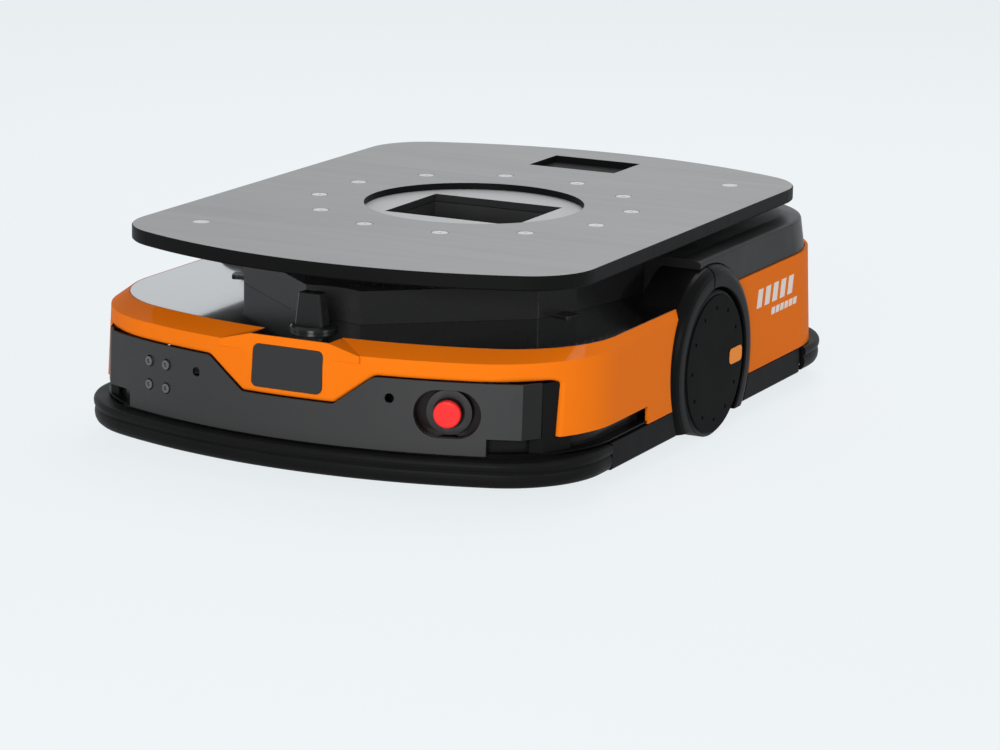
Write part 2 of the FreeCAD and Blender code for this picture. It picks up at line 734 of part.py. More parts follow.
def bumper_guides():
    """Bearing blocks on the base plate for the pins of both bumpers."""
    blocks = []
    for x in (pin_x, -pin_x):
        block = box(x - 16, x + 16, -424, -404, base_top, 54)
        block = block.cut(round_bar((x, -460, pin_height), (0, 1, 0), pin_radius + running_gap, 100))
        blocks.append(block)
        blocks.append(mirror_y(block))
    return Part.makeCompound(blocks)


# ---- drive wheels ----
def drive_tyre():
    """Right-hand polyurethane tyre with rounded shoulders."""
    inner = wheel_face - wheel_width
    outer = wheel_face - 2
    seat = wheel_radius - 12
    shoulder = wheel_radius - 3
    profile = [Vector(inner, 0, seat), Vector(inner, 0, shoulder), Vector(inner + 3, 0, wheel_radius),
               Vector(outer - 3, 0, wheel_radius), Vector(outer, 0, shoulder), Vector(outer, 0, seat)]
    ring = Part.Face(Part.makePolygon(profile + profile[:1])).revolve(Vector(0, 0, 0), Vector(1, 0, 0), 360)
    ring.translate(Vector(0, 0, wheel_radius))
    return ring


def drive_hub():
    """Right-hand hub: rim, web, shaft and a flat outer disc with screw dimples."""
    seat = wheel_radius - 12
    rim = wheel_radius - 4
    profile = [Vector(228, 0, 0), Vector(228, 0, 15), Vector(282, 0, 15), Vector(284, 0, 26),
               Vector(304, 0, 26), Vector(304, 0, 68), Vector(285, 0, 68), Vector(285, 0, seat),
               Vector(322, 0, seat), Vector(322, 0, rim), Vector(wheel_face, 0, rim - 1.5), Vector(wheel_face, 0, 0)]
    hub = Part.Face(Part.makePolygon(profile + profile[:1])).revolve(Vector(0, 0, 0), Vector(1, 0, 0), 360)
    for index in range(12):
        angle = math.radians(30 * index)
        place = (wheel_face - 1.5, 68 * math.cos(angle), 68 * math.sin(angle))
        hub = hub.cut(round_bar(place, (1, 0, 0), 2.6, 5))
    hub.translate(Vector(0, 0, wheel_radius))
    return hub


def wheel_marker():
    """Raised rounded mark on the outer disc that shows the wheel turning."""
    mark = box(wheel_face, wheel_face + 0.8, 43, 79, wheel_radius - 10, wheel_radius + 9)
    return mark.makeFillet(6, [edge for edge in mark.Edges if edge.BoundBox.XLength > 0.7
                               and edge.BoundBox.YLength < 1 and edge.BoundBox.ZLength < 1])


# ---- casters, drawn at the origin with the swivel axis on Z ----
def caster_fork():
    """Swivel stem, crown, two legs and the axle of one caster."""
    stem = round_bar((0, 0, 90), (0, 0, 1), 9, 14)
    crown = round_bar((0, 0, 84), (0, 0, 1), 27, 6)
    crown = crown.fuse(box(-21, 21, -4, caster_trail + 16, 80, 86))
    legs = []
    for x0, x1 in ((-21, -17), (17, 21)):
        leg = polygon_prism([(x0, -4, 86), (x0, caster_trail + 16, 86), (x0, caster_trail + 11, 28),
                             (x0, caster_trail - 11, 28)], (x1 - x0, 0, 0))
        legs.append(leg)
    axle = round_bar((-23, caster_trail, caster_radius), (1, 0, 0), 5, 46)
    return stem.multiFuse([crown, axle] + legs)


def caster_wheel():
    half = caster_width / 2
    profile = [Vector(-half, 0, 5 + running_gap), Vector(-half, 0, 14), Vector(-half + 4, 0, 16),
               Vector(-half + 4, 0, 28), Vector(-half, 0, 30), Vector(-half, 0, 34),
               Vector(-half + 4, 0, caster_radius)]
    far = [Vector(-point.x, 0, point.z) for point in reversed(profile)]
    outline = profile + far
    wheel = Part.Face(Part.makePolygon(outline + outline[:1])).revolve(Vector(0, 0, 0), Vector(1, 0, 0), 360)
    wheel.translate(Vector(0, caster_trail, caster_radius))
    return wheel


def at_caster(shape, sign_x, sign_y):
    moved = shape.copy()
    moved.translate(Vector(sign_x * caster_x, sign_y * caster_y, 0))
    return moved


# ---- lift ----
frame_bottom = 206.0
frame_top = 218.0
gear_bottom = 221.0
plate_bottom = overall_height - plate_thickness
layer_top = overall_height - plate_upper_layer
pinion_distance = gear_module * (gear_teeth + pinion_teeth) / 2


def lift_frame():
    """Ribbed disc on the four columns, with a neck round the view opening."""
    disc = round_bar((0, 0, frame_bottom), (0, 0, 1), 204, frame_top - frame_bottom)
    tongue = box(-42, 42, 150, 284, frame_bottom, frame_top)
    neck = box(-92, 92, -72, 72, frame_bottom, plate_bottom - 1)
    frame = disc.multiFuse([tongue, neck])
    frame = frame.cut(box(-88, 88, -68, 68, 100, 300))
    for index in range(8):
        angle = math.radians(22.5 + 45 * index)
        place = (172 * math.cos(angle), 172 * math.sin(angle), 190)
        if abs(place[0]) < 90:
            frame = frame.cut(round_bar(place, (0, 0, 1), 14, 21))
    return frame.cut(round_bar((0, pinion_distance, 190), (0, 0, 1), 11, 60))


def lift_columns():
    columns = [round_bar((x, y, 62), (0, 0, 1), column_radius, frame_bottom - 62)
               for x in (column_x, -column_x) for y in (column_y, -column_y)]
    return Part.makeCompound(columns)


def slewing_inner_ring():
    """Fixed race of the slewing ring, screwed to the lift frame."""
    ring = tube((0, 0, frame_top), (0, 0, 1), 175.7, 146, 14)
    outer_edges = [edge for edge in ring.Edges if edge.BoundBox.XLength > 350 and edge.BoundBox.ZMin > 230]
    return ring.makeChamfer(2, outer_edges)


def rotation_motor():
    """Turntable motor hanging below the lift frame."""
    motor = round_bar((0, pinion_distance, 122), (0, 0, 1), 30, 68)
    gearbox = box(-33, 33, pinion_distance - 33, pinion_distance + 33, 190, frame_bottom)
    gearbox = gearbox.makeFillet(6, [edge for edge in gearbox.Edges if edge.BoundBox.ZLength > 10])
    bore = round_bar((0, pinion_distance, 160), (0, 0, 1), 7 + running_gap, 60)
    return motor.fuse(gearbox).cut(bore)


# ---- turntable ----
def gear_blank(teeth, phase, z0, z1):
    """Spur gear of straight-flanked teeth, with one tooth at the phase angle."""
    pitch_radius = gear_module * teeth / 2
    tip = pitch_radius + 0.8 * gear_module
    root = pitch_radius - 1.05 * gear_module
    pitch = 2 * math.pi / teeth
    points = []
    for index in range(teeth):
        centre = phase + index * pitch
        slope = 0.8 * gear_module * math.tan(math.radians(20)) / pitch_radius
        base = 1.05 * gear_module * math.tan(math.radians(20)) / pitch_radius
        half = 0.235 * pitch
        for radius, offset in ((root, -half - base), (tip, -half + slope), (tip, half - slope), (root, half + base)):
            points.append(Vector(radius * math.cos(centre + offset), radius * math.sin(centre + offset), z0))
    return Part.Face(Part.makePolygon(points + points[:1])).extrude(Vector(0, 0, z1 - z0))


def screw_places():
    places = []
    for index in range(screw_count):
        angle = math.radians(15 + 360.0 / screw_count * index)
        places.append((screw_circle_radius * math.cos(angle), screw_circle_radius * math.sin(angle)))
    return places


def slewing_gear():
    """Toothed outer race of the slewing ring, with a tooth facing the pinion."""
    gear = gear_blank(gear_teeth, math.pi / 2, gear_bottom, plate_bottom)
    gear = gear.cut(round_bar((0, 0, 200), (0, 0, 1), 176.3, 60))
    return gear


def rotation_pinion():
    """Pinion with a tooth space towards the slewing gear, on its shaft."""
    phase = -math.pi / 2 + math.pi / pinion_teeth
    pinion = gear_blank(pinion_teeth, phase, gear_bottom, plate_bottom - 1)
    shaft = round_bar((0, 0, 165), (0, 0, 1), 7, gear_bottom - 165)
    pinion = pinion.fuse(shaft)
    pinion.translate(Vector(0, pinion_distance, 0))
    return pinion


def turntable_flange():
    disc = round_bar((0, 0, plate_bottom), (0, 0, 1), 213, layer_top - plate_bottom)
    disc = disc.cut(box(-view_half_x, view_half_x, -view_half_y, view_half_y, 200, 300))
    for x, y in screw_places():
        disc = disc.cut(round_bar((x, y, 200), (0, 0, 1), 4.5, 60))
    return disc


stud_x = 219.0
stud_y = 277.0
stud_radius = 10.0
pocket_half_x = 60.0
pocket_y0 = 275.0
pocket_y1 = 355.0


def load_plate():
    outline = Outline(plate_half_width, plate_half_length, plate_bow_radius, plate_corner_radius)
    plate = outline.solid(plate_bottom + 1.5, overall_height - 1)
    plate = plate.fuse(tapered(outline.inset(1.5), plate_bottom, outline, plate_bottom + 1.5))
    plate = plate.fuse(tapered(outline, overall_height - 1, outline.inset(1), overall_height))
    plate = plate.cut(round_bar((0, 0, 200), (0, 0, 1), 213.3, layer_top - 200))
    plate = plate.cut(round_bar((0, 0, 200), (0, 0, 1), plate_hole_radius, 60))
    for x, y in screw_places():
        plate = plate.cut(Part.makeCone(4.5, 10.2, 5.7, Vector(x, y, overall_height - 5.7)))
        plate = plate.cut(round_bar((x, y, 230), (0, 0, 1), 4.5, 20))
    for x, y in ((stud_x, stud_y), (-stud_x, -stud_y)):
        plate = plate.cut(round_bar((x, y, overall_height - 8), (0, 0, 1), stud_radius + 0.1, 10))
    pocket = box(-pocket_half_x, pocket_half_x, pocket_y0, pocket_y1, layer_top, 300)
    return plate.cut(pocket)


def plate_screws():
    screws = []
    for x, y in screw_places():
        head = Part.makeCone(4.2, 9.9, 5.7, Vector(x, y, overall_height - 5.8))
        shank = round_bar((x, y, plate_bottom + 1), (0, 0, 1), 4.2, overall_height - 5.8 - plate_bottom - 1)
        screws.append(head.fuse(shank))
    return Part.makeCompound(screws)


def locating_studs():
    studs = []
    for x, y in ((stud_x, stud_y), (-stud_x, -stud_y)):
        studs.append(round_bar((x, y, overall_height - 8), (0, 0, 1), stud_radius, 7.9))
    return Part.makeCompound(studs)


# ---- write every sub-part ----
os.makedirs("parts", exist_ok=True)

single_parts = {
    "base_plate": base_plate,
    "caster_towers": caster_towers,
    "jack_housings": jack_housings,
    "camera_well": camera_well,
    "upward_camera": upward_camera,
    "battery_pack": battery_pack,
    "control_box": control_box,
    "front_body_shell": front_body_shell,
    "rear_body_shell": rear_body_shell,
    "camera_window": camera_window,
    "front_panel": front_panel,
    "charge_contacts": charge_contacts,
    "estop_collar": estop_collar,
    "estop_button": estop_button,
    "scanner_windows": scanner_windows,
    "scanner_bezels": scanner_bezels,
    "front_deck": front_deck,
    "sensor_tower": sensor_tower,
    "front_housing": front_housing,
    "rear_top_cover": rear_top_cover,
    "front_bumper": bumper_strip,
    "front_bumper_bar": bumper_bar,
    "bumper_guides": bumper_guides,
    "lift_frame": lift_frame,
    "lift_columns": lift_columns,
    "slewing_inner_ring": slewing_inner_ring,
    "rotation_motor": rotation_motor,
    "slewing_gear": slewing_gear,
    "rotation_pinion": rotation_pinion,
    "turntable_flange": turntable_flange,
    "load_plate": load_plate,
    "plate_screws": plate_screws,
    "locating_studs": locating_studs,
}
for name, make in single_parts.items():
    save(name, make())

save("rear_bumper", mirror_y(bumper_strip()))
save("rear_bumper_bar", mirror_y(bumper_bar()))
save("rear_panel", mirror_y(end_panel()))

right_parts = {
    "drive_unit": drive_unit(),
    "drive_tyre": drive_tyre(),
    "drive_hub": drive_hub(),
    "wheel_marker": wheel_marker(),
    "front_wheel_arch": arch_half(True),
    "rear_wheel_arch": arch_half(False),
    "front_side_skirt": side_skirt(True),
    "rear_side_skirt": side_skirt(False),
}
for name, shape in right_parts.items():
    save(name + "_right", shape)
    save(name + "_left", mirror_x(shape))

for end, sign_y in (("front", -1), ("rear", 1)):
    for side, sign_x in (("left", -1), ("right", 1)):
        save("caster_fork_" + end + "_" + side, at_caster(caster_fork(), sign_x, sign_y))
        save("caster_wheel_" + end + "_" + side, at_caster(caster_wheel(), sign_x, sign_y))
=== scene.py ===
import json
import math

import bmesh
import bpy
from mathutils import Matrix, Vector
from mathutils.bvhtree import BVHTree


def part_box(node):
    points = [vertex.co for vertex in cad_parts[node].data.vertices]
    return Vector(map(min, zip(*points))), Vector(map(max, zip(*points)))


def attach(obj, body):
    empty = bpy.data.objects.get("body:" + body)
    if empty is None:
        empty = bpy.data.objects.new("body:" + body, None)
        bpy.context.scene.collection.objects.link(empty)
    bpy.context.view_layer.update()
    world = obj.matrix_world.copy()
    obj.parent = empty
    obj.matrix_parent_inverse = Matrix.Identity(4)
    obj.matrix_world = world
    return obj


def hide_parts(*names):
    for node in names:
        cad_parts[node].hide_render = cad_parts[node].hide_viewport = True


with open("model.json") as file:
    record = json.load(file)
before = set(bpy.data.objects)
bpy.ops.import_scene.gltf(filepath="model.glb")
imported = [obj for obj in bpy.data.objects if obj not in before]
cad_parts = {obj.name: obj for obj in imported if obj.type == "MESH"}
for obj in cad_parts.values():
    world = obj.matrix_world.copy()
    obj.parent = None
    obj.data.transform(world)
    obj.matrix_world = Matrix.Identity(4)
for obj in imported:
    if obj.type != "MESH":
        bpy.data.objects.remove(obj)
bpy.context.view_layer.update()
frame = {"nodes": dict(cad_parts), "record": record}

nodes = frame["nodes"]


# Shader building: small helpers, then the shared effects as groups

def addNode(tree, kind, place, **settings):
    node = tree.nodes.new(kind)
    node.location = place
    for key, value in settings.items():
        setattr(node, key, value)
    return node


def newGroup(name, inputs, output):
    # number inputs with their defaults, and one number output
    tree = bpy.data.node_groups.new(name, "ShaderNodeTree")
    for label, value in inputs.items():
        socket = tree.interface.new_socket(name=label, in_out="INPUT", socket_type="NodeSocketFloat")
        socket.default_value = value
    tree.interface.new_socket(name=output, in_out="OUTPUT", socket_type="NodeSocketFloat")
    start = addNode(tree, "NodeGroupInput", (-900, 0))
    end = addNode(tree, "NodeGroupOutput", (500, 0))
    return tree, start.outputs, end.inputs[output]


def mathNode(tree, operation, place, first, second=None, clamp=False):
    node = addNode(tree, "ShaderNodeMath", place, operation=operation, use_clamp=clamp)
    for socket, value in zip(node.inputs, (first, second)):
        if isinstance(value, (int, float)):
            socket.default_value = value
        elif value is not None:
            tree.links.new(value, socket)
    return node.outputs[0]


def objectPoint(tree, place=(-1300, 0)):
    return addNode(tree, "ShaderNodeTexCoord", place).outputs["Object"]


def axisOf(tree, place, vector, axis):
    parts = addNode(tree, "ShaderNodeSeparateXYZ", place)
    tree.links.new(vector, parts.inputs[0])
    return parts.outputs[axis]


def noiseNode(tree, place, vector, scale, detail=2.0, roughness=0.5):
    node = addNode(tree, "ShaderNodeTexNoise", place)
    tree.links.new(vector, node.inputs["Vector"])
    if isinstance(scale, (int, float)):
        node.inputs["Scale"].default_value = scale
    else:
        tree.links.new(scale, node.inputs["Scale"])
    node.inputs["Detail"].default_value = detail
    node.inputs["Roughness"].default_value = roughness
    return node.outputs["Fac"]


def mapRange(tree, place, value, source=(0, 1), target=(0, 1)):
    # takes the source range over to the target range, held outside it
    node = addNode(tree, "ShaderNodeMapRange", place)
    tree.links.new(value, node.inputs["Value"])
    for label, number in zip(("From Min", "From Max", "To Min", "To Max"), (*source, *target)):
        node.inputs[label].default_value = number
    return node.outputs[0]


def buildDriftGroup():
    # slow change of tone over a surface
    drift = {"detail": 3.0, "roughness": 0.55, "middle": 0.5}
    tree, given, result = newGroup("toneDrift", {"Scale": 4.0, "Contrast": 1.0}, "Tone")
    noise = noiseNode(tree, (-500, 0), objectPoint(tree), given["Scale"], drift["detail"],
                      drift["roughness"])
    centred = mathNode(tree, "SUBTRACT", (-300, 0), noise, drift["middle"])
    scaled = mathNode(tree, "MULTIPLY", (-100, 0), centred, given["Contrast"])
    tree.links.new(mathNode(tree, "ADD", (100, 0), scaled, drift["middle"], clamp=True), result)
    return tree


def buildGrainGroup():
    # height of a fine moulded grain
    grain = {"detail": 1.0, "roughness": 0.5}
    tree, given, result = newGroup("mouldGrain", {"Scale": 900.0, "Depth": 1.0}, "Height")
    point = objectPoint(tree)
    fine = noiseNode(tree, (-500, 100), point, given["Scale"], grain["detail"], grain["roughness"])
    pits = addNode(tree, "ShaderNodeTexVoronoi", (-500, -150), feature="SMOOTH_F1")
    tree.links.new(point, pits.inputs["Vector"])
    tree.links.new(given["Scale"], pits.inputs["Scale"])
    both = mathNode(tree, "ADD", (-250, 0), fine, pits.outputs["Distance"])
    tree.links.new(mathNode(tree, "MULTIPLY", (0, 0), both, given["Depth"]), result)
    return tree


def buildEdgeGroup():
    # up to 1 along worn edges, 0 on open faces
    wear = {"samples": 4, "patches": 60.0, "detail": 4.0, "roughness": 0.7}
    tree, given, result = newGroup("edgeWear", {"Radius": 0.0012, "Strength": 1.0}, "Mask")
    rounded = addNode(tree, "ShaderNodeBevel", (-700, 100), samples=wear["samples"])
    tree.links.new(given["Radius"], rounded.inputs["Radius"])
    flat = addNode(tree, "ShaderNodeNewGeometry", (-700, -100))
    agreement = addNode(tree, "ShaderNodeVectorMath", (-500, 0), operation="DOT_PRODUCT")
    tree.links.new(rounded.outputs[0], agreement.inputs[0])
    tree.links.new(flat.outputs["Normal"], agreement.inputs[1])
    turned = mathNode(tree, "SUBTRACT", (-300, 0), 1.0, agreement.outputs["Value"], clamp=True)
    patchy = noiseNode(tree, (-500, -300), objectPoint(tree), wear["patches"], wear["detail"],
                       wear["roughness"])
    worn = mathNode(tree, "MULTIPLY", (-100, 0), turned, patchy)
    tree.links.new(mathNode(tree, "MULTIPLY", (100, 0), worn, given["Strength"], clamp=True), result)
    return tree


def buildDustGroup():
    # dust that settles on faces looking up
    cloud = {"detail": 6.0, "roughness": 0.7, "clear": 0.42}
    tree, given, result = newGroup("settledDust", {"Scale": 35.0, "Amount": 0.2}, "Mask")
    geometry = addNode(tree, "ShaderNodeNewGeometry", (-900, -200))
    facing = axisOf(tree, (-700, -200), geometry.outputs["Normal"], "Z")
    upward = mathNode(tree, "MAXIMUM", (-500, -200), facing, 0.0)
    noise = noiseNode(tree, (-700, 100), objectPoint(tree), given["Scale"], cloud["detail"],
                      cloud["roughness"])
    flecks = mathNode(tree, "SUBTRACT", (-500, 100), noise, cloud["clear"], clamp=True)
    lying = mathNode(tree, "MULTIPLY", (-300, 0), upward, flecks)
    tree.links.new(mathNode(tree, "MULTIPLY", (-100, 0), lying, given["Amount"], clamp=True), result)
    return tree


def buildBrushGroup():
    # straight scratches of a ground face, drawn along X
    scratch = {"detail": 4.0, "roughness": 0.75}
    tree, given, result = newGroup("brushLines", {"Scale": 60.0, "Along": 0.06}, "Value")
    stretch = addNode(tree, "ShaderNodeCombineXYZ", (-900, -250))
    stretch.inputs["Y"].default_value = 1.0
    for axis in ("X", "Z"):
        tree.links.new(given["Along"], stretch.inputs[axis])
    scaled = addNode(tree, "ShaderNodeVectorMath", (-700, 0), operation="MULTIPLY")
    tree.links.new(objectPoint(tree), scaled.inputs[0])
    tree.links.new(stretch.outputs[0], scaled.inputs[1])
    lines = noiseNode(tree, (-500, 0), scaled.outputs[0], given["Scale"], scratch["detail"],
                      scratch["roughness"])
    tree.links.new(lines, result)
    return tree


def buildTopGroup():
    # 1 on faces that look up and lie above a height, 0 on walls and lower faces
    facingRange = (0.75, 0.95)
    tree, given, result = newGroup("machinedTop", {"Height": 0.0}, "Mask")
    geometry = addNode(tree, "ShaderNodeNewGeometry", (-900, -200))
    facing = axisOf(tree, (-700, -200), geometry.outputs["Normal"], "Z")
    upward = mapRange(tree, (-500, -200), facing, facingRange)
    height = axisOf(tree, (-700, 100), objectPoint(tree), "Z")
    above = mathNode(tree, "GREATER_THAN", (-500, 100), height, given["Height"])
    tree.links.new(mathNode(tree, "MULTIPLY", (-200, 0), upward, above), result)
    return tree


groups = {
    "drift": buildDriftGroup(),
    "grain": buildGrainGroup(),
    "edge": buildEdgeGroup(),
    "dust": buildDustGroup(),
    "brush": buildBrushGroup(),
    "top": buildTopGroup(),
}
print("shader groups ready")


def useGroup(tree, key, place, **values):
    node = addNode(tree, "ShaderNodeGroup", place, node_tree=groups[key])
    for label, value in values.items():
        node.inputs[label].default_value = value
    return node.outputs[0]


def mixColour(tree, place, factor, first, second):
    node = addNode(tree, "ShaderNodeMix", place, data_type="RGBA")
    tree.links.new(factor, node.inputs["Factor"])
    for socket, value in ((node.inputs[6], first), (node.inputs[7], second)):
        if isinstance(value, tuple):
            socket.default_value = (*value, 1.0)
        else:
            tree.links.new(value, socket)
    return node.outputs[2]


# What a finish has where its own settings don't say otherwise
plainLook = {"driftScale": 5.0, "driftContrast": 1.6, "along": 0.06, "streaks": (0.3, 0.7),
             "wearRadius": 0.001, "wear": 1.0, "dust": 0.0, "dustScale": 40.0,
             "dustColour": (0.20, 0.195, 0.19), "smearScale": 14.0, "smearContrast": 2.0, "grain": 900.0,
             "bump": 0.05, "bumpDepth": 0.0004, "soften": 0.0, "softenSamples": 4, "metal": 0.0,
             "ior": 1.5, "specular": 0.5, "coat": 0.0, "coatRough": 0.05}


def baseColour(tree, look, lines):
    # two drifting tones, then brushed streaks, walls, painted shade on faces turned sideways, worn edges
    # and dust where the look has them
    tone = useGroup(tree, "drift", (-1300, 300), Scale=look["driftScale"], Contrast=look["driftContrast"])
    colour = mixColour(tree, (-1000, 300), tone, look["dark"], look["light"])
    if lines:
        streaks = mapRange(tree, (-1100, -300), lines, look["streaks"])
        colour = mixColour(tree, (-900, 300), streaks, colour, look.get("streak", look["light"]))
    if "walls" in look:
        top = useGroup(tree, "top", (-1300, 100), Height=look["topFrom"])
        colour = mixColour(tree, (-800, 300), top, look["walls"], colour)
    if "ends" in look:
        # painted shade: faces turned sideways take a darker colour that stands in for the shade on the
        # panel's end facets
        geometry = addNode(tree, "ShaderNodeNewGeometry", (-1400, 500))
        facing = axisOf(tree, (-1200, 500), geometry.outputs["True Normal"], "X")
        sideways = mathNode(tree, "ABSOLUTE", (-1000, 500), facing)
        turned = mapRange(tree, (-850, 500), sideways, look["endsTurn"])
        colour = mixColour(tree, (-700, 300), turned, colour, look["ends"])
    if "worn" in look:
        edge = useGroup(tree, "edge", (-1100, 50), Radius=look["wearRadius"], Strength=look["wear"])
        colour = mixColour(tree, (-600, 250), edge, colour, look["worn"])
    if look["dust"] > 0:
        dust = useGroup(tree, "dust", (-1100, -150), Scale=look["dustScale"], Amount=look["dust"])
        colour = mixColour(tree, (-400, 250), dust, colour, look["dustColour"])
    return colour


def surfaceBump(tree, look, height):
    bump = addNode(tree, "ShaderNodeBump", (-400, -400))
    bump.inputs["Strength"].default_value = look["bump"]
    bump.inputs["Distance"].default_value = look["bumpDepth"]
    tree.links.new(height, bump.inputs["Height"])
    if look["soften"] > 0:
        rounded = addNode(tree, "ShaderNodeBevel", (-700, -550), samples=look["softenSamples"])
        rounded.inputs["Radius"].default_value = look["soften"]
        tree.links.new(rounded.outputs[0], bump.inputs["Normal"])
    return bump.outputs[0]


def finish(name, settings):
    # one material from its own settings over the plain ones
    look = {**plainLook, **settings}
    material = bpy.data.materials.new(name)
    material.use_nodes = True
    tree = material.node_tree
    shader = tree.nodes["Principled BSDF"]
    if "brush" in look:
        lines = useGroup(tree, "brush", (-1300, -350), Scale=look["brush"], Along=look["along"])
        change = height = lines
    else:
        lines = None
        change = useGroup(tree, "drift", (-1100, -350), Scale=look["smearScale"],
                          Contrast=look["smearContrast"])
        height = useGroup(tree, "grain", (-1100, -550), Scale=look["grain"])
    tree.links.new(baseColour(tree, look, lines), shader.inputs["Base Color"])
    tree.links.new(mapRange(tree, (-600, -100), change, target=look["rough"]), shader.inputs["Roughness"])
    tree.links.new(surfaceBump(tree, look, height), shader.inputs["Normal"])
    shader.inputs["Metallic"].default_value = look["metal"]
    shader.inputs["IOR"].default_value = look["ior"]
    shader.inputs["Specular IOR Level"].default_value = look["specular"]
    shader.inputs["Coat Weight"].default_value = look["coat"]
    shader.inputs["Coat Roughness"].default_value = look["coatRough"]
    return material


